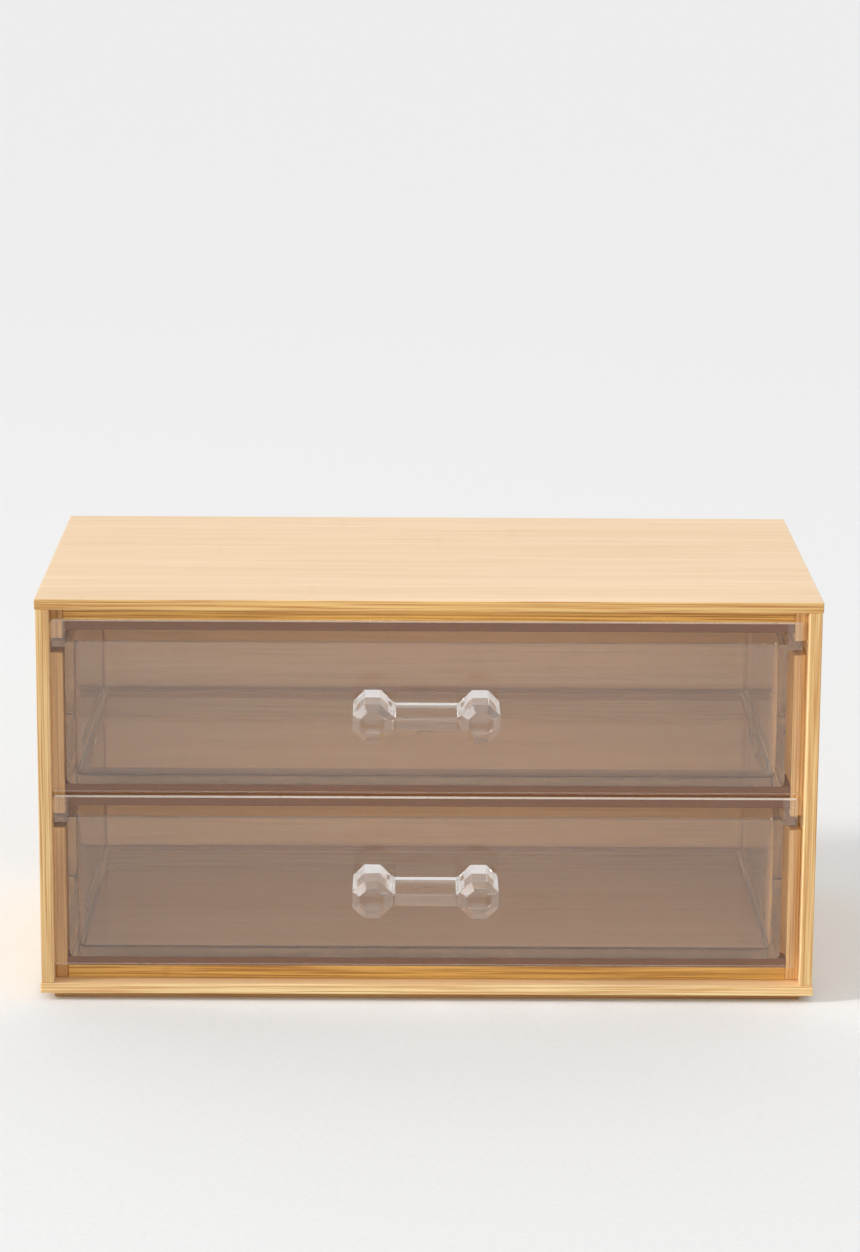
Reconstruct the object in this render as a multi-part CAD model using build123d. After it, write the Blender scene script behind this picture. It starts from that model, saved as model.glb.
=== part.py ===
from build123d import *
from math import radians, tan
import os

os.makedirs("parts", exist_ok=True)

# Makeup organizer: a bamboo case with two clear pull-out drawers, one above the other.
# Millimetres. +X is right as seen from the front, the front faces -Y, and +Z is up.
# The origin is on the table, under the middle of the whole object, handles included.

# Case boards
case_width = 305.0  # top and bottom boards, end to end
case_depth = 164.0  # front edge to back edge
case_height = 159.3  # underside of the bottom board to the top, without the feet
board_thickness = 4.2  # top and bottom boards
side_thickness = 5.0
side_inset = 0.4  # the side boards stand in this much from the ends of the top board
back_thickness = 4.0
edge_break = 0.45  # sanded edges of every bamboo piece

# Foot strips
foot_height = 3.0
foot_depth = 14.0
foot_inset = 5.0  # from the ends and the front and back edges of the bottom board

# Rails and runner strips inside the case
frame_recess = 7.5  # case front edge back to the front faces of rails and strips
strip_thickness = 5.0  # each strip stands in this much from its side board
rail_height = 9.3  # top rail, and the bottom rails
rail_depth = 8.0
middle_rail_height = 8.9
middle_rail_depth = 19.5

# Drawer tray
tray_wall = 3.0
tray_floor = 2.2
tray_inside_radius = 3.2  # upright inside corners
tray_floor_radius = 3.0  # inside, where the walls meet the floor
tray_outside_radius = 2.0  # bottom edges and rear corners
tray_lift = 0.3  # running clearance between a tray and the rails that carry it
tray_side_clearance = 1.8  # tray wall to runner strip, on average
tray_rear_clearance = 6.5  # tray to back board
rim_gap = 4.4  # tray rim to the rail above it
gate_mark_diameter = 7.5  # mark that moulding leaves in the floor
gate_mark_depth = 0.3

# Side flange of a tray, which runs in the groove between two runner strips
flange_thickness = 2.0
flange_side_clearance = 1.7  # flange edge to side board, on average
groove_gap_above = 1.1
groove_gap_below = 2.6
tab_thickness = 1.3  # upright tab behind each upper corner of the front plate
tab_drop = 0.8  # top of the tab below the top of the plate

# Drawer front plate
plate_thickness = 3.5
plate_side_clearance = 1.4  # plate edge to side board, on average
plate_overlap_above = 4.45  # onto the rail above the opening
plate_overlap_below = 2.55  # onto the rail below the opening
plate_gap = 1.6  # between the plate and the rails behind it
plate_corner = 1.0
plate_edge = 0.35
drawer_rests_left = 0.9  # each drawer sits this far left of centre in its side play

# Handle: two eight-sided posts joined by a bar
post_across_flats = 15.0
post_length = 22.8  # plate to the edge where the crown starts
table_across_flats = 9.5
crown_height = 2.8
post_spacing = 41.6
bar_height = 4.8
bar_corner = 2.0  # inner corners where the posts run onto the bar

# Values that follow from the ones above
handle_reach = post_length + crown_height
plate_front = frame_recess - plate_gap - plate_thickness  # behind the case front edge
front_overhang = max(0.0, handle_reach - plate_front)  # handles ahead of the case
case_front = -(case_depth + front_overhang) / 2 + front_overhang
case_back = case_front + case_depth
bottom_underside = foot_height
floor_top = bottom_underside + board_thickness
case_top = bottom_underside + case_height
ceiling = case_top - board_thickness
side_outside = case_width / 2 - side_inset
side_inside = side_outside - side_thickness
strip_face = side_inside - strip_thickness
frame_front = case_front + frame_recess
back_front = case_back - back_thickness
inside_height = ceiling - floor_top
opening_height = (inside_height - 2 * rail_height - middle_rail_height) / 2
level_pitch = opening_height + middle_rail_height
opening_bottoms = {
    "lower": floor_top + rail_height,
    "upper": floor_top + rail_height + level_pitch,
}

plate_back_y = frame_front - plate_gap
plate_front_y = plate_back_y - plate_thickness
plate_height = opening_height + plate_overlap_above + plate_overlap_below
plate_half = side_inside - plate_side_clearance
tray_height = opening_height - tray_lift - rim_gap
tray_half = strip_face - tray_side_clearance
tray_back_y = back_front - tray_rear_clearance
flange_half = side_inside - flange_side_clearance
drawer_x = -drawer_rests_left


def block(left, right, front, back, bottom, top):
    """A plain block, given by the places of its six faces."""
    solid = Box(right - left, back - front, top - bottom, align=(Align.MIN,) * 3)
    return Pos(left, front, bottom) * solid


def board(left, right, front, back, bottom, top):
    """A bamboo board or strip: a block with every edge lightly sanded."""
    solid = block(left, right, front, back, bottom, top)
    return fillet(solid.edges(), edge_break)


def case_boards():
    """The five outer boards. The top and bottom boards lie over the ends of the side boards."""
    half = case_width / 2
    return {
        "top_panel": board(-half, half, case_front, case_back, ceiling, case_top),
        "bottom_panel": board(-half, half, case_front, case_back, bottom_underside, floor_top),
        "left_side_panel": board(
            -side_outside, -side_inside, case_front, case_back, floor_top, ceiling
        ),
        "right_side_panel": board(
            side_inside, side_outside, case_front, case_back, floor_top, ceiling
        ),
        "back_panel": board(-side_inside, side_inside, back_front, case_back, floor_top, ceiling),
    }


def foot_strips():
    """Two strips under the bottom board, one along the front and one along the back."""
    half = case_width / 2 - foot_inset
    front = case_front + foot_inset
    back = case_back - foot_inset
    return {
        "front_foot_strip": board(-half, half, front, front + foot_depth, 0, foot_height),
        "rear_foot_strip": board(-half, half, back - foot_depth, back, 0, foot_height),
    }


def groove_span(opening_bottom):
    """Bottom and top of the groove that takes the tray flanges of one drawer."""
    rim = opening_bottom + tray_lift + tray_height
    return rim - flange_thickness - groove_gap_below, rim + groove_gap_above


def runner_strips():
    """Three strips on each side board. The two gaps between them are the drawer grooves."""
    lower_groove = groove_span(opening_bottoms["lower"])
    upper_groove = groove_span(opening_bottoms["upper"])
    spans = {
        "lower": (floor_top, lower_groove[0]),
        "middle": (lower_groove[1], upper_groove[0]),
        "upper": (upper_groove[1], ceiling),
    }
    strips = {}
    for level, (bottom, top) in spans.items():
        strips[f"left_{level}_runner_strip"] = board(
            -side_inside, -strip_face, frame_front, back_front, bottom, top
        )
        strips[f"right_{level}_runner_strip"] = board(
            strip_face, side_inside, frame_front, back_front, bottom, top
        )
    return strips


def rails():
    """Cross rails between the runner strips. The trays slide on all but the top one."""
    low = opening_bottoms["lower"]
    middle_top = opening_bottoms["upper"]
    middle_bottom = middle_top - middle_rail_height

    def rail(front, back, bottom, top):
        return board(-strip_face, strip_face, front, back, bottom, top)

    return {
        "bottom_front_rail": rail(frame_front, frame_front + rail_depth, floor_top, low),
        "bottom_rear_rail": rail(back_front - rail_depth, back_front, floor_top, low),
        "middle_front_rail": rail(
            frame_front, frame_front + middle_rail_depth, middle_bottom, middle_top
        ),
        "middle_rear_rail": rail(
            back_front - middle_rail_depth, back_front, middle_bottom, middle_top
        ),
        "top_front_rail": rail(
            frame_front, frame_front + rail_depth, ceiling - rail_height, ceiling
        ),
    }


def beside(side, near, far, front, back, bottom, top):
    """A block on one side of a drawer. Near and far are measured from the drawer's middle."""
    left, right = sorted((drawer_x + side * near, drawer_x + side * far))
    return block(left, right, front, back, bottom, top)


def tray(opening_bottom):
    """A clear moulded tray, open at the top, with a flange along each side at the rim."""
    bottom = opening_bottom + tray_lift
    rim = bottom + tray_height
    left = drawer_x - tray_half
    right = drawer_x + tray_half

    body = block(left, right, plate_back_y, tray_back_y, bottom, rim)
    rear_corners = body.edges().filter_by(Axis.Z).group_by(Axis.Y)[-1]
    body = fillet(rear_corners, tray_outside_radius)
    under = body.faces().sort_by(Axis.Z)[0]
    front_edge = under.edges().sort_by(Axis.Y)[0]
    body = fillet(under.edges().filter_by(lambda e: e != front_edge), tray_outside_radius)

    inside = block(
        left + tray_wall,
        right - tray_wall,
        plate_back_y + tray_wall,
        tray_back_y - tray_wall,
        bottom + tray_floor,
        rim + tray_wall,
    )
    inside = fillet(inside.edges().filter_by(Axis.Z), tray_inside_radius)
    inside = fillet(inside.faces().sort_by(Axis.Z)[0].edges(), tray_floor_radius)

    gate_y = (plate_back_y + tray_back_y) / 2
    gate_mark = Pos(drawer_x, gate_y, bottom + tray_floor) * Cylinder(
        gate_mark_diameter / 2, 2 * gate_mark_depth
    )
    body = body - inside - gate_mark

    tab_top = opening_bottom + opening_height + plate_overlap_above - tab_drop
    tab_back_y = plate_back_y + tab_thickness
    flange_bottom = rim - flange_thickness
    wall_middle = tray_half - tray_wall / 2
    for side in (-1, 1):
        body += beside(side, wall_middle, flange_half, plate_back_y, tray_back_y, flange_bottom, rim)
        body += beside(side, tray_half, flange_half, plate_back_y, tab_back_y, flange_bottom, tab_top)
    return body


def front_plate(opening_bottom):
    """The clear front plate, bonded to the front wall and the tabs of its tray."""
    bottom = opening_bottom - plate_overlap_below
    plate = block(
        drawer_x - plate_half,
        drawer_x + plate_half,
        plate_front_y,
        plate_back_y,
        bottom,
        bottom + plate_height,
    )
    plate = fillet(plate.edges().filter_by(Axis.Y), plate_corner)
    return fillet(plate.faces().sort_by(Axis.Y)[0].edges(), plate_edge)


def octagon(across_flats):
    """An eight-sided outline with a flat at the top."""
    return RegularPolygon(across_flats / 2, 8, major_radius=False, rotation=22.5)


def handle_outline():
    """The two posts and the bar seen from the front. The posts' slanted sides run onto the bar."""
    post_half = post_across_flats / 2
    side_half = post_half * tan(radians(22.5))  # half of one of the eight sides
    bar_half = bar_height / 2
    bar_end = post_spacing / 2 - post_half - (side_half - bar_half)
    outline = Rectangle(post_spacing, bar_height)
    for side in (-1, 1):
        outline += Pos(side * post_spacing / 2, 0) * octagon(post_across_flats)
        inner = side * (post_spacing / 2 - post_half)
        outline += make_face(
            Polyline(
                (inner, side_half),
                (side * bar_end, bar_half),
                (side * bar_end, -bar_half),
                (inner, -side_half),
                close=True,
            )
        )
    inner_corners = [v for v in outline.vertices() if abs(abs(v.X) - bar_end) < 0.01]
    return fillet(inner_corners, bar_corner)


def handle(opening_bottom):
    """The clear handle, bonded to the middle of the front plate."""
    centre_z = opening_bottom - plate_overlap_below + plate_height / 2
    body = extrude(handle_outline(), post_length)
    for side in (-1, 1):
        girdle = Pos(side * post_spacing / 2, 0, post_length)
        table = girdle * Pos(0, 0, crown_height)
        body += loft([girdle * octagon(post_across_flats), table * octagon(table_across_flats)], ruled=True)
    face_plane = Plane(origin=(drawer_x, plate_front_y, centre_z), x_dir=(1, 0, 0), z_dir=(0, -1, 0))
    return face_plane * body


def drawers():
    """Tray, front plate and handle of each drawer."""
    pieces = {}
    for level, opening_bottom in opening_bottoms.items():
        pieces[f"{level}_tray"] = tray(opening_bottom)
        pieces[f"{level}_front_plate"] = front_plate(opening_bottom)
        pieces[f"{level}_handle"] = handle(opening_bottom)
    return pieces


pieces = {**case_boards(), **foot_strips(), **runner_strips(), **rails(), **drawers()}
for name, solid in pieces.items():
    export_step(solid, f"parts/{name}.step")
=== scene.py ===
from math import cos, radians, sin

import bmesh
import bpy
from mathutils import Matrix, Vector


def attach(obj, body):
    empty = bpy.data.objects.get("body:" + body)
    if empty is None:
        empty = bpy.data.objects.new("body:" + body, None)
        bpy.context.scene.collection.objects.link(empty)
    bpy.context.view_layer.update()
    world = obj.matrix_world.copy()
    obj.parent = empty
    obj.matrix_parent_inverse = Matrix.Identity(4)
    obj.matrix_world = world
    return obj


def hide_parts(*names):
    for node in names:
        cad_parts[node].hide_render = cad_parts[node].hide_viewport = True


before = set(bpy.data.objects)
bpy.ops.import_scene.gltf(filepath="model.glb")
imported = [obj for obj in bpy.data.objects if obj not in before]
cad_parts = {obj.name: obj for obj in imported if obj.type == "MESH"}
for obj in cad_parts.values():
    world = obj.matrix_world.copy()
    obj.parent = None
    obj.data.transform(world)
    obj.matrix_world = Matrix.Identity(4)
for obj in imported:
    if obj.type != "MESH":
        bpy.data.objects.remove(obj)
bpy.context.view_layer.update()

mm = 0.001

# Top and bottom boards: 4.2 mm boards pressed from flat strips of bamboo cane, with the fibres along the
# case. The edges are sawn and sanded, and one thin coat of satin lacquer seals it all. The boards lie over
# the ends of the side boards and are glued to them.
STRIP_WIDTH = 19 * mm
CANE_JOINT_SPACING = 340 * mm  # the rings of a cane, which leave a mark across each strip
CANE_JOINT_WIDTH = 3 * mm
JOINT_WAVER = 2.4 * CANE_JOINT_WIDTH  # how far the ragged line of a joint strays
WAVER_SIZE = 3 * mm
FLECK_REACH = 6 * CANE_JOINT_WIDTH  # how far from a joint its dark flecks lie
FIBRE_WIDTH = 0.6 * mm  # the real fibres are about 0.3 mm: too fine to show at this size
FIBRE_LENGTH = 60 * mm
TONE_WIDTH = 7 * mm  # broad bands of tone that run through several fibres
TONE_LENGTH = 240 * mm
LACQUER_IOR = 1.5
LACQUER_ROUGHNESS = (0.36, 0.5)  # satin: smoother over pale wood, rougher over the open dark fibres
LACQUER_COAT = 0.12
COAT_ROUGHNESS = 0.25
FIBRE_RELIEF = 0.12 * mm
STRIP_CONTRAST = 0.45
FIBRE_CONTRAST = 0.55
JOINT_CONTRAST = 0.35
MARK_CONTRAST = 0.5


def linear(hex_colour):
    """An sRGB hex colour as the linear red, green, blue and alpha that a shader takes."""
    channels = [int(hex_colour[i:i + 2], 16) / 255 for i in (1, 3, 5)]
    return [c / 12.92 if c <= 0.04045 else ((c + 0.055) / 1.055) ** 2.4 for c in channels] + [1]


def node(tree, kind, inputs=None, **settings):
    """Adds a node. In inputs, a socket is linked and anything else is set on the socket."""
    made = tree.nodes.new(kind)
    for name, value in settings.items():
        setattr(made, name, value)
    for key, value in (inputs or {}).items():
        if isinstance(value, bpy.types.NodeSocket):
            tree.links.new(value, made.inputs[key])
        else:
            made.inputs[key].default_value = value
    return made


def new_material(name):
    """An empty node material and its tree."""
    material = bpy.data.materials.new(name)
    material.use_nodes = True
    material.node_tree.nodes.clear()
    return material, material.node_tree


def lacquered_bamboo(name, along, thick, pale, mid, fleck_and_shade, edge_pale, edge_dark, shift, painted_shade_heights=None):
    """Bamboo under satin lacquer. Along is the axis of the fibres and thick the axis through the board.
    The faces are pale with faint strips, fibres and cane joints. The sawn edges are yellower and streaked.
    Shift moves the grain, so that no two pieces are alike. The range of heights given last lies behind a front
    plate; there painted shade is drawn on the wood in the fleck colour, which serves for both the flecks and
    that shade."""
    across = 3 - along - thick
    material, tree = new_material(name)
    place = node(tree, "ShaderNodeTexCoord")
    moved = node(tree, "ShaderNodeVectorMath", {0: place.outputs["Object"], 1: shift}, operation="ADD")
    axes = node(tree, "ShaderNodeSeparateXYZ", {0: moved.outputs[0]})
    run, side, depth = axes.outputs[along], axes.outputs[across], axes.outputs[thick]

    # strips of cane, each a little different in tone and with its joints elsewhere
    strip = node(tree, "ShaderNodeMath", {0: side, 1: STRIP_WIDTH}, operation="DIVIDE")
    strip_number = node(tree, "ShaderNodeMath", {0: strip.outputs[0]}, operation="FLOOR")
    chance = node(tree, "ShaderNodeTexWhiteNoise", {"W": strip_number.outputs[0]}, noise_dimensions="1D")
    chances = node(tree, "ShaderNodeSeparateColor", {0: chance.outputs["Color"]})
    start = node(tree, "ShaderNodeMath", {0: chances.outputs[0], 1: CANE_JOINT_SPACING, 2: run},
                 operation="MULTIPLY_ADD")

    # long drawn-out fibres and broader bands of tone
    stretched = node(tree, "ShaderNodeCombineXYZ", {0: start.outputs[0], 1: side, 2: depth})
    fibre_place = node(tree, "ShaderNodeVectorMath", {
        0: stretched.outputs[0], 1: (1 / FIBRE_LENGTH, 1 / FIBRE_WIDTH, 1 / FIBRE_WIDTH)},
        operation="MULTIPLY")
    fibre = node(tree, "ShaderNodeTexNoise", {
        "Vector": fibre_place.outputs[0], "Scale": 1.0, "Detail": 4.0, "Roughness": 0.55})
    tone_place = node(tree, "ShaderNodeVectorMath", {
        0: stretched.outputs[0], 1: (1 / TONE_LENGTH, 1 / TONE_WIDTH, 1 / TONE_WIDTH)},
        operation="MULTIPLY")
    tone = node(tree, "ShaderNodeTexNoise", {
        "Vector": tone_place.outputs[0], "Scale": 1.0, "Detail": 3.0, "Roughness": 0.6})

    # cane joints: a ragged faint line across the strip, with short dark flecks beside it
    waver = node(tree, "ShaderNodeTexNoise", {
        "Vector": moved.outputs[0], "Scale": 1 / WAVER_SIZE, "Detail": 2.0})
    wavering = node(tree, "ShaderNodeMath", {
        0: waver.outputs[0], 1: JOINT_WAVER, 2: start.outputs[0]}, operation="MULTIPLY_ADD")
    from_joint = node(tree, "ShaderNodeMath", {
        0: wavering.outputs[0], 1: CANE_JOINT_SPACING / 2}, operation="PINGPONG")
    joint = node(tree, "ShaderNodeMapRange", {
        "Value": from_joint.outputs[0], "From Min": 0.0, "From Max": CANE_JOINT_WIDTH,
        "To Min": JOINT_CONTRAST, "To Max": 0.0}, interpolation_type="SMOOTHSTEP")
    beside_joint = node(tree, "ShaderNodeMapRange", {
        "Value": from_joint.outputs[0], "From Min": CANE_JOINT_WIDTH, "From Max": FLECK_REACH,
        "To Min": 1.0, "To Max": 0.0}, interpolation_type="SMOOTHSTEP")
    flecks = node(tree, "ShaderNodeMapRange", {
        "Value": fibre.outputs[0], "From Min": 0.56, "From Max": 0.72})
    joint_flecks = node(tree, "ShaderNodeMath", {
        0: flecks.outputs[0], 1: beside_joint.outputs[0]}, operation="MULTIPLY")
    marks = node(tree, "ShaderNodeMath", {
        0: joint.outputs[0], 1: joint_flecks.outputs[0]}, operation="MAXIMUM")
    marked = node(tree, "ShaderNodeMath", {
        0: marks.outputs[0], 1: chances.outputs[1]}, operation="MULTIPLY")

    # the face
    tone_share = node(tree, "ShaderNodeMapRange", {
        "Value": tone.outputs[0], "From Min": 0.33, "From Max": 0.67})
    strip_share = node(tree, "ShaderNodeMath", {
        0: chances.outputs[2], 1: STRIP_CONTRAST, 2: tone_share.outputs[0]}, operation="MULTIPLY_ADD")
    face = node(tree, "ShaderNodeMix", {
        0: strip_share.outputs[0], "A": linear(pale), "B": linear(mid)}, data_type="RGBA")
    fibre_share = node(tree, "ShaderNodeMapRange", {
        "Value": fibre.outputs[0], "From Min": 0.5, "From Max": 0.8,
        "To Min": 0.0, "To Max": FIBRE_CONTRAST})
    lined = node(tree, "ShaderNodeMix", {
        0: fibre_share.outputs[0], "A": face.outputs["Result"], "B": linear(fleck_and_shade)}, data_type="RGBA")

    # the sawn edges, where the cut fibres show as darker streaks
    streak_share = node(tree, "ShaderNodeMapRange", {
        "Value": fibre.outputs[0], "From Min": 0.42, "From Max": 0.62})
    edge = node(tree, "ShaderNodeMix", {
        0: streak_share.outputs[0], "A": linear(edge_pale), "B": linear(edge_dark)}, data_type="RGBA")
    normal_axes = node(tree, "ShaderNodeSeparateXYZ", {0: place.outputs["Normal"]})
    facing = node(tree, "ShaderNodeMath", {0: normal_axes.outputs[thick]}, operation="ABSOLUTE")
    edge_share = node(tree, "ShaderNodeMapRange", {
        "Value": facing.outputs[0], "From Min": 0.55, "From Max": 0.9, "To Min": 1.0, "To Max": 0.0})
    surface = node(tree, "ShaderNodeMix", {
        0: edge_share.outputs[0], "A": lined.outputs["Result"], "B": edge.outputs["Result"]},
        data_type="RGBA")
    mark_share = node(tree, "ShaderNodeMath", {
        0: marked.outputs[0], 1: MARK_CONTRAST}, operation="MULTIPLY")
    colour = node(tree, "ShaderNodeMix", {
        0: mark_share.outputs[0], "A": surface.outputs["Result"], "B": linear(fleck_and_shade)}, data_type="RGBA")

    # painted shade behind a front plate, in the fleck colour, with a soft line of 0.6 mm at each end of the
    # range
    if painted_shade_heights:
        low, high = painted_shade_heights
        blur = 0.3 * mm
        heights = node(tree, "ShaderNodeSeparateXYZ", {0: place.outputs["Object"]})
        above = node(tree, "ShaderNodeMapRange", {
            "Value": heights.outputs[2], "From Min": low - blur, "From Max": low + blur})
        below = node(tree, "ShaderNodeMapRange", {
            "Value": heights.outputs[2], "From Min": high - blur, "From Max": high + blur,
            "To Min": 1.0, "To Max": 0.0})
        in_painted_shade = node(tree, "ShaderNodeMath", {
            0: above.outputs[0], 1: below.outputs[0]}, operation="MULTIPLY")
        colour = node(tree, "ShaderNodeMix", {
            0: in_painted_shade.outputs[0], "A": colour.outputs["Result"], "B": linear(fleck_and_shade)}, data_type="RGBA")

    # satin lacquer that the fibres still print through
    rough = node(tree, "ShaderNodeMapRange", {
        "Value": fibre.outputs[0], "From Min": 0.3, "From Max": 0.75,
        "To Min": LACQUER_ROUGHNESS[0], "To Max": LACQUER_ROUGHNESS[1]})
    height = node(tree, "ShaderNodeMath", {
        0: marked.outputs[0], 1: 0.6, 2: fibre.outputs[0]}, operation="MULTIPLY_ADD")
    bump = node(tree, "ShaderNodeBump", {
        "Strength": 0.25, "Distance": FIBRE_RELIEF, "Height": height.outputs[0]})
    shader = node(tree, "ShaderNodeBsdfPrincipled", {
        "Base Color": colour.outputs["Result"], "Roughness": rough.outputs[0],
        "Normal": bump.outputs[0], "IOR": LACQUER_IOR, "Coat Weight": LACQUER_COAT,
        "Coat Roughness": COAT_ROUGHNESS})
    node(tree, "ShaderNodeOutputMaterial", {"Surface": shader.outputs[0]})
    return material


def dress(name, material):
    """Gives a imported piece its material."""
    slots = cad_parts[name].data.materials
    slots.clear()
    slots.append(material)


X, Y, Z = 0, 1, 2
FACE = {"pale": "#F2D4AC", "mid": "#E9C698", "fleck_and_shade": "#C79A62"}
TOP_EDGE = {"edge_pale": "#E0B873", "edge_dark": "#B87D3B"}
BOTTOM_EDGE = {"edge_pale": "#F8DAA0", "edge_dark": "#D9A362"}
dress("top_panel", lacquered_bamboo(
    "lacquered_bamboo_top_board", X, Z, **FACE, **TOP_EDGE, shift=(0.031, 0.007, 0)))
dress("bottom_panel", lacquered_bamboo(
    "lacquered_bamboo_bottom_board", X, Z, **FACE, **BOTTOM_EDGE, shift=(0.213, 0.117, 0.05)))

# Side boards: 5 mm bamboo board with the fibres upright, glued between the top and bottom boards.
# The sawn front edges show the fibres as upright yellow and brown streaks.
SIDE_EDGE = {"edge_pale": "#E6C388", "edge_dark": "#C08A4C"}
dress("left_side_panel", lacquered_bamboo(
    "lacquered_bamboo_left_side", Z, X, **FACE, **SIDE_EDGE, shift=(0.4, 0.05, 0.02)))
dress("right_side_panel", lacquered_bamboo(
    "lacquered_bamboo_right_side", Z, X, **FACE, **SIDE_EDGE, shift=(0.7, 0.09, 0.11)))

# Back board: 4 mm bamboo board let in between the sides, with the fibres along the case. It is drawn in a
# warmer tone than the outside, to give the brown ground that the photograph shows through the drawers; that
# warmth is partly painted shade, the warm shade inside the case.
INNER_FACE = {"pale": "#FACC8A", "mid": "#F0BA72", "fleck_and_shade": "#BC8648"}
dress("back_panel", lacquered_bamboo(
    "lacquered_bamboo_back", X, Y, **INNER_FACE, **TOP_EDGE, shift=(0.13, 0, 0.004)))

# Foot strips: two flat strips of darker sawn bamboo, glued under the bottom board and set in from its edges.
# From the front the first one shows only as a thin shaded line under the case.
FRAME_FACE = {"pale": "#D2A264", "mid": "#C18B4B", "fleck_and_shade": "#94642F"}
FRAME_EDGE = {"edge_pale": "#D0A062", "edge_dark": "#AB763A"}
for foot, shift in (("front_foot_strip", 0.3), ("rear_foot_strip", 0.9)):
    dress(foot, lacquered_bamboo(
        f"lacquered_bamboo_{foot}", X, Z, **FRAME_FACE, **FRAME_EDGE, shift=(shift, shift / 3, 0)))

# Runner strips: three sawn bamboo strips glued on each side board, with gaps between them that take the
# flanges of the trays. Their grain is upright. The right ones are drawn paler, as the sun in the photograph
# makes them: painted sunlight.
# Paler colours for the right strips: painted sunlight.
PAINTED_SUNLIGHT_FACE = {"pale": "#E8C088", "mid": "#DAAA6A", "fleck_and_shade": "#A87440"}
PAINTED_SUNLIGHT_EDGE = {"edge_pale": "#E6BC80", "edge_dark": "#C48E50"}
for step, level in enumerate(("lower", "middle", "upper")):
    dress(f"left_{level}_runner_strip", lacquered_bamboo(
        f"lacquered_bamboo_left_{level}_strip", Z, X, **FRAME_FACE, **FRAME_EDGE,
        shift=(0.05 * step, 0.025 * step, 0.017 * step)))
    dress(f"right_{level}_runner_strip", lacquered_bamboo(
        f"lacquered_bamboo_right_{level}_strip", Z, X, **PAINTED_SUNLIGHT_FACE, **PAINTED_SUNLIGHT_EDGE,
        shift=(0.17 + 0.05 * step, 0.09 + 0.025 * step, 0.06 + 0.017 * step)))

# Rails: square sawn bamboo strips glued across the case between the runner strips. The trays slide on the
# lower ones. Their front faces show the fibres as long level streaks. Where a front plate covers them at rest,
# painted shade turns them a deep brown, as dark as the photograph shows them there; it stays when a drawer is
# pulled out.
# The dark fleck colour of the rails also paints their shade behind the front plates.
RAIL_FACE = {"pale": "#E6B25C", "mid": "#D2983F", "fleck_and_shade": "#74420E"}
RAIL_EDGE = {"edge_pale": "#EBB960", "edge_dark": "#B47A2E"}
# The heights of that painted shade on each front rail.
PAINTED_SHADE_BEHIND_PLATES = {
    "bottom_front_rail": (12.6 * mm, 30 * mm),
    "middle_front_rail": (60 * mm, 100 * mm),
    "top_front_rail": (140 * mm, 152.3 * mm)}
for number, (rail, shade_range) in enumerate(PAINTED_SHADE_BEHIND_PLATES.items()):
    dress(rail, lacquered_bamboo(
        f"lacquered_bamboo_{rail}", X, Z, **RAIL_FACE, **RAIL_EDGE,
        shift=(0.11 * number, 0.03 * number, 0.07 * number), painted_shade_heights=shade_range))
for number, rail in enumerate(("bottom_rear_rail", "middle_rear_rail")):
    dress(rail, lacquered_bamboo(
        f"lacquered_bamboo_{rail}", X, Z, **FRAME_FACE, **FRAME_EDGE,
        shift=(0.16 * number, 0.05 * number, 0.02)))

# Trays: injection-moulded crystal polystyrene with 3 mm walls, open at the top, with a flange along each side
# that runs in the grooves. Polished moulds leave it clear, with faint flow ripples and a breath of haze, so
# that the wood behind it looks a little soft and greyed.
RIPPLE_LENGTH = 16 * mm
SCUFF_PATCH = 6 * mm  # patches of hairline scuffs; the scuffs themselves are too fine to show at this size
SCUFFED = 2.5  # how much rougher than clean plastic a scuffed patch is


def clear_polystyrene(name, tint, haze, ripple, ior, shade, clarity=1.0):
    """Clear moulded polystyrene. Haze is the roughness where it is clean, ripple the height of the flow
    ripples and clarity the share of light that it doesn't scatter. The real refractive index is 1.59. The
    room here is white all round, so each piece takes the lower one that gives the gloss of the photograph.
    Rays from lamps pass straight through, less what shade takes."""
    material, tree = new_material(name)
    place = node(tree, "ShaderNodeTexCoord")
    flow = node(tree, "ShaderNodeTexNoise", {
        "Vector": place.outputs["Object"], "Scale": 1 / RIPPLE_LENGTH, "Detail": 1.0, "Roughness": 0.4})
    scuffs = node(tree, "ShaderNodeTexNoise", {
        "Vector": place.outputs["Object"], "Scale": 1 / SCUFF_PATCH, "Detail": 2.0})
    rough = node(tree, "ShaderNodeMapRange", {
        "Value": scuffs.outputs[0], "From Min": 0.35, "From Max": 0.75,
        "To Min": haze, "To Max": SCUFFED * haze})
    bump = node(tree, "ShaderNodeBump", {
        "Strength": 1.0, "Distance": ripple, "Height": flow.outputs[0]})
    plastic = node(tree, "ShaderNodeBsdfPrincipled", {
        "Base Color": linear(tint), "Roughness": rough.outputs[0], "Normal": bump.outputs[0],
        "IOR": ior, "Transmission Weight": clarity})
    lamp_light = node(tree, "ShaderNodeBsdfTransparent", {"Color": linear(shade)})
    path = node(tree, "ShaderNodeLightPath")
    either = node(tree, "ShaderNodeMixShader", {
        0: path.outputs["Is Shadow Ray"], 1: plastic.outputs[0], 2: lamp_light.outputs[0]})
    node(tree, "ShaderNodeOutputMaterial", {"Surface": either.outputs[0]})
    return material


tray_plastic = clear_polystyrene(
    "crystal_polystyrene_tray", tint="#FFFDFA", haze=0.012, ripple=0.03 * mm, ior=1.3, shade="#FDFDFD",
    clarity=0.96)
for drawer in ("lower", "upper"):
    dress(f"{drawer}_tray", tray_plastic)

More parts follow.
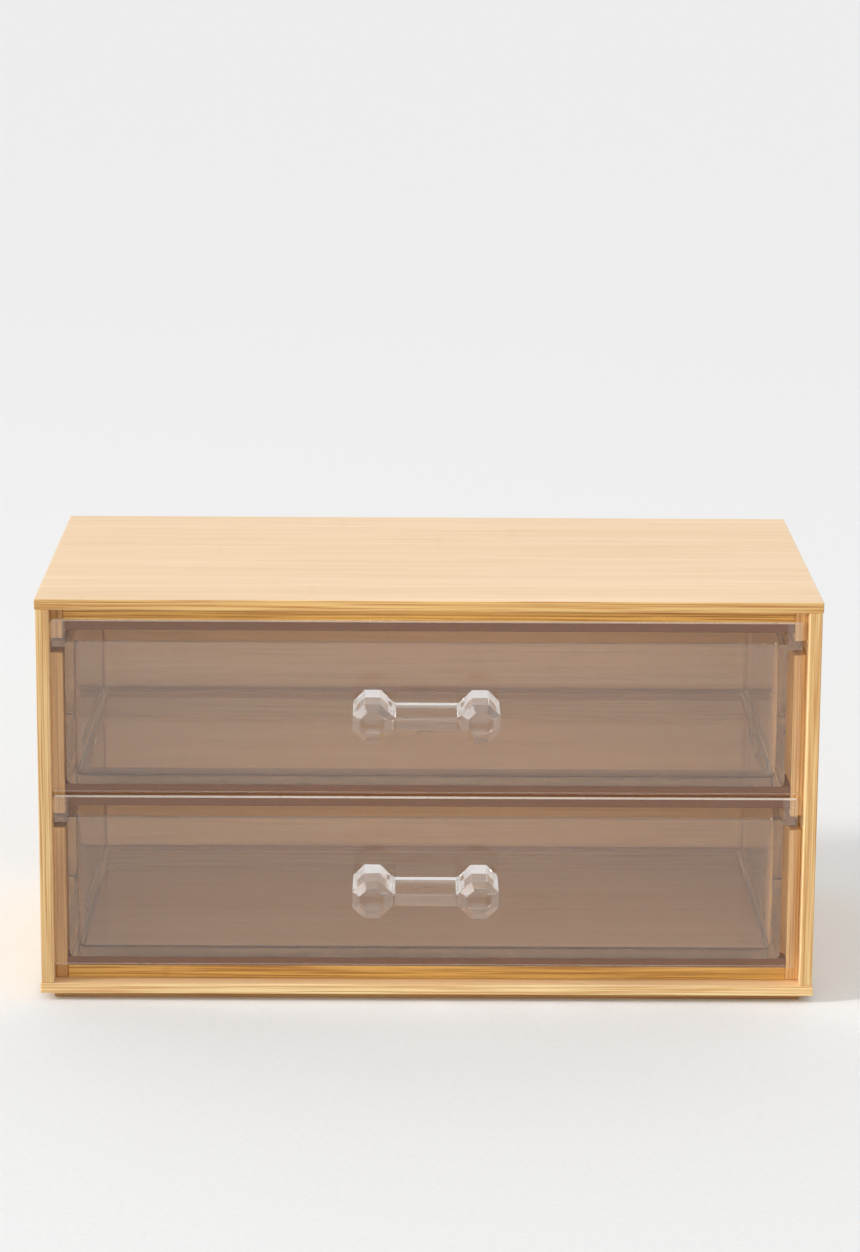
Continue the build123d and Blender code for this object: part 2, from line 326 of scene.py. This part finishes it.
# Front plates: a separate flat moulding of crystal polystyrene, larger than the opening, bonded to the front
# wall of each tray. The bond leaves a film of air, so the plate is drawn that much thinner at the back. Its
# edges are softened. The top one is drawn matt, as if scraped, and milky white for the white line in the
# photograph: that whiteness is a painted highlight.
BOND_FILM = 0.06 * mm
PLATE_SOFTENING = 0.2 * mm
SOFTENING_STEPS = 2
SAME_POINT = 0.002 * mm
BACK_DEPTH = 0.01 * mm  # points this near to the furthest back count as the back face
FLAT_ANGLE = radians(1)
SHARP_ANGLE = radians(20)
FACES_UP = 0.9
plate_plastic = clear_polystyrene(
    "crystal_polystyrene_plate", tint="#FDFDFC", haze=0.004, ripple=0.01 * mm, ior=1.42, shade="#C8C6C2")
# The milky white top edge of each plate: a painted highlight.
scraped_and_highlight_edge = clear_polystyrene(
    "scraped_polystyrene_plate_edge_painted_highlight", tint="#FFFFFF", haze=0.25, ripple=0.01 * mm, ior=1.42,
    shade="#C8C6C2", clarity=0.25)


def softened_copy(source, name, body, softening, material, top_edge=None):
    """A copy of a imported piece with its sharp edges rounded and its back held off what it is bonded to.
    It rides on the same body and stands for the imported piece. Top_edge is the material of its upper edge."""
    work = bmesh.new()
    work.from_mesh(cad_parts[source].data)
    bmesh.ops.remove_doubles(work, verts=work.verts, dist=SAME_POINT)
    bmesh.ops.dissolve_limit(work, angle_limit=FLAT_ANGLE, verts=work.verts, edges=work.edges)
    back = max(vertex.co.y for vertex in work.verts)
    for vertex in work.verts:
        if vertex.co.y > back - BACK_DEPTH:
            vertex.co.y -= BOND_FILM
    sharp = [e for e in work.edges if len(e.link_faces) == 2 and e.calc_face_angle() > SHARP_ANGLE]
    bmesh.ops.bevel(work, geom=sharp, offset=softening, segments=SOFTENING_STEPS, profile=0.5,
                    affect="EDGES", clamp_overlap=True)
    mesh = bpy.data.meshes.new(name)
    work.to_mesh(mesh)
    work.free()
    for layer in [a for a in mesh.attributes if a.name == "custom_normal"]:
        mesh.attributes.remove(layer)
    mesh.shade_flat()
    mesh.materials.clear()
    mesh.materials.append(material)
    if top_edge:
        mesh.materials.append(top_edge)
        for face in mesh.polygons:
            if face.normal.z > FACES_UP:
                face.material_index = 1
    piece = bpy.data.objects.new(name, mesh)
    bpy.context.scene.collection.objects.link(piece)
    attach(piece, body)
    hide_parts(source)
    return piece


for drawer in ("lower", "upper"):
    softened_copy(f"{drawer}_front_plate", f"{drawer}_clear_front", f"{drawer}_drawer",
                  PLATE_SOFTENING, plate_plastic, scraped_and_highlight_edge)

# Handles: solid crystal polystyrene, two eight-sided posts with cut crowns and a bar between them, bonded to
# the front plate. The facets are polished and their edges just rounded, so that they look like cut glass.
FACET_ROUNDING = 0.15 * mm
handle_plastic = clear_polystyrene(
    "crystal_polystyrene_handle", tint="#FEFEFE", haze=0.004, ripple=0.01 * mm, ior=1.53, shade="#E6E6E6")
for drawer in ("lower", "upper"):
    softened_copy(f"{drawer}_handle", f"{drawer}_clear_handle", f"{drawer}_drawer",
                  FACET_ROUNDING, handle_plastic)

# Table: a wide top under matt white paint, with a fine plaster grain, that runs off out of view. It is the
# pale ground that carries the shadow of the case.
TABLE_SIZE = 30.0  # metres
PLASTER_GRAIN = 2.2 * mm  # coarser than real plaster, which is too fine to show at this size
PLASTER_RELIEF = 0.2 * mm
table_mesh = bpy.data.meshes.new("table_top")
half = TABLE_SIZE / 2
table_mesh.from_pydata([(-half, -half, 0), (half, -half, 0), (half, half, 0), (-half, half, 0)], [],
                       [(0, 1, 2, 3)])
table = bpy.data.objects.new("table_top", table_mesh)
bpy.context.scene.collection.objects.link(table)
paint, tree = new_material("matt_white_table_paint")
place = node(tree, "ShaderNodeTexCoord")
grain = node(tree, "ShaderNodeTexNoise", {
    "Vector": place.outputs["Object"], "Scale": 1 / PLASTER_GRAIN, "Detail": 3.0})
speckle = node(tree, "ShaderNodeMapRange", {"Value": grain.outputs[0], "From Min": 0.3, "From Max": 0.7})
colour = node(tree, "ShaderNodeMix", {
    0: speckle.outputs[0], "A": linear("#EAEBEC"), "B": linear("#EEEFF0")}, data_type="RGBA")
bump = node(tree, "ShaderNodeBump", {
    "Strength": 0.25, "Distance": PLASTER_RELIEF, "Height": grain.outputs[0]})
shader = node(tree, "ShaderNodeBsdfPrincipled", {
    "Base Color": colour.outputs["Result"], "Roughness": 0.8, "Normal": bump.outputs[0],
    "Specular IOR Level": 0.2})
node(tree, "ShaderNodeOutputMaterial", {"Surface": shader.outputs[0]})
table_mesh.materials.append(paint)

# Room light: a bright white room all round. What the camera, gloss and clear plastic see of it is the plain
# white backdrop, and the light that it casts is a little lower.
ROOM_LIGHT = 0.82
room = bpy.data.worlds.new("studio")
bpy.context.scene.world = room
room.use_nodes = True
tree = room.node_tree
tree.nodes.clear()
path = node(tree, "ShaderNodeLightPath")
seen = node(tree, "ShaderNodeMath", {
    0: path.outputs["Is Camera Ray"], 1: path.outputs["Is Glossy Ray"]}, operation="MAXIMUM")
seen = node(tree, "ShaderNodeMath", {
    0: seen.outputs[0], 1: path.outputs["Is Transmission Ray"]}, operation="MAXIMUM")
lighting = node(tree, "ShaderNodeBackground", {"Color": linear("#FFFFFF"), "Strength": ROOM_LIGHT})
backdrop = node(tree, "ShaderNodeBackground", {"Color": linear("#FFFFFF"), "Strength": 1.0})
both = node(tree, "ShaderNodeMixShader", {
    0: seen.outputs[0], 1: lighting.outputs[0], 2: backdrop.outputs[0]})
node(tree, "ShaderNodeOutputWorld", {"Surface": both.outputs[0]})


def place_lamp(lamp_data, place, direction):
    """Stands a lamp at a place and aims it."""
    lamp = bpy.data.objects.new(lamp_data.name, lamp_data)
    lamp.location = place
    lamp.rotation_euler = direction.to_track_quat("-Z", "Y").to_euler()
    bpy.context.scene.collection.objects.link(lamp)


# Window light: low and soft, from the left and slightly from the front. It draws the shadow on the right and
# lights the sawn front edges.
WINDOW_LIGHT_DIRECTION = Vector((0.300, 0.081, -0.162))
window_light = bpy.data.lights.new("window_light", "SUN")
window_light.energy = 1.2
window_light.angle = radians(8)
window_light.color = linear("#FFFAF2")[:3]
place_lamp(window_light, Vector((0, 0, 0)), WINDOW_LIGHT_DIRECTION)

# Soft lamp: a weak panel on the same side, higher up. The upper left facets of the handles mirror it, and
# it lifts the top board a little.
SOFT_LAMP_PLACE = Vector((-1.46, -0.41, 1.12))
SOFT_LAMP_TARGET = Vector((0, -0.09, 0.1))
soft_lamp = bpy.data.lights.new("soft_lamp", "AREA")
soft_lamp.shape = "RECTANGLE"
soft_lamp.size, soft_lamp.size_y = 0.55, 0.4
soft_lamp.energy = 4.2
place_lamp(soft_lamp, SOFT_LAMP_PLACE, SOFT_LAMP_TARGET - SOFT_LAMP_PLACE)

# Streak of sun: a narrow warm beam past the left side of the case. It brightens the inner face of the right
# side board and the ends of its runner strips.
STREAK_PLACE = Vector((-1.00, -0.34, 0.28))
STREAK_TARGET = Vector((0.147, -0.067, 0.085))
sun_streak = bpy.data.lights.new("sun_streak", "SPOT")
sun_streak.energy = 32.0
sun_streak.spot_size = radians(8.5)
sun_streak.spot_blend = 0.5
sun_streak.shadow_soft_size = 0.01
sun_streak.color = linear("#FFF4E0")[:3]
place_lamp(sun_streak, STREAK_PLACE, STREAK_TARGET - STREAK_PLACE)

# Camera: the photograph's place and lens, solved from the corners of the case. It stands 1.5 m away, looks
# down by 13 degrees and is turned by a third of a degree.
PHOTO_WIDTH, PHOTO_HEIGHT = 860, 1252
FOCAL_PIXELS = 3798.57
SENSOR = 36.0
CAMERA_PLACE = Vector((-0.00896, -1.49961, 0.48218))
AZIMUTH, DOWN, ROLL = radians(0.372), radians(12.991), radians(0.3466)
forward = Vector((sin(AZIMUTH) * cos(DOWN), cos(AZIMUTH) * cos(DOWN), -sin(DOWN)))
level_right = Vector((cos(AZIMUTH), -sin(AZIMUTH), 0))
level_up = level_right.cross(forward)
right = cos(ROLL) * level_right + sin(ROLL) * level_up
up = -sin(ROLL) * level_right + cos(ROLL) * level_up
camera_data = bpy.data.cameras.new("camera")
camera_data.sensor_width = SENSOR
camera_data.sensor_fit = "AUTO"
camera_data.lens = FOCAL_PIXELS * SENSOR / max(PHOTO_WIDTH, PHOTO_HEIGHT)
camera_data.clip_end = 2 * TABLE_SIZE
camera = bpy.data.objects.new("camera", camera_data)
turn = Matrix((right, up, -forward)).transposed().to_4x4()
camera.matrix_world = Matrix.Translation(CAMERA_PLACE) @ turn
bpy.context.scene.collection.objects.link(camera)
bpy.context.scene.camera = camera

# Rendering: light crosses up to a dozen clear walls and is mirrored inside them many times, and Cycles counts
# those mirrorings as glossy bounces. With fewer bounces, dark bands show under the trays.
scene = bpy.context.scene
scene.view_settings.view_transform = "Standard"
scene.cycles.max_bounces = 80
scene.cycles.transmission_bounces = 80
scene.cycles.glossy_bounces = 60
scene.cycles.transparent_max_bounces = 64
scene.cycles.blur_glossy = 0.0
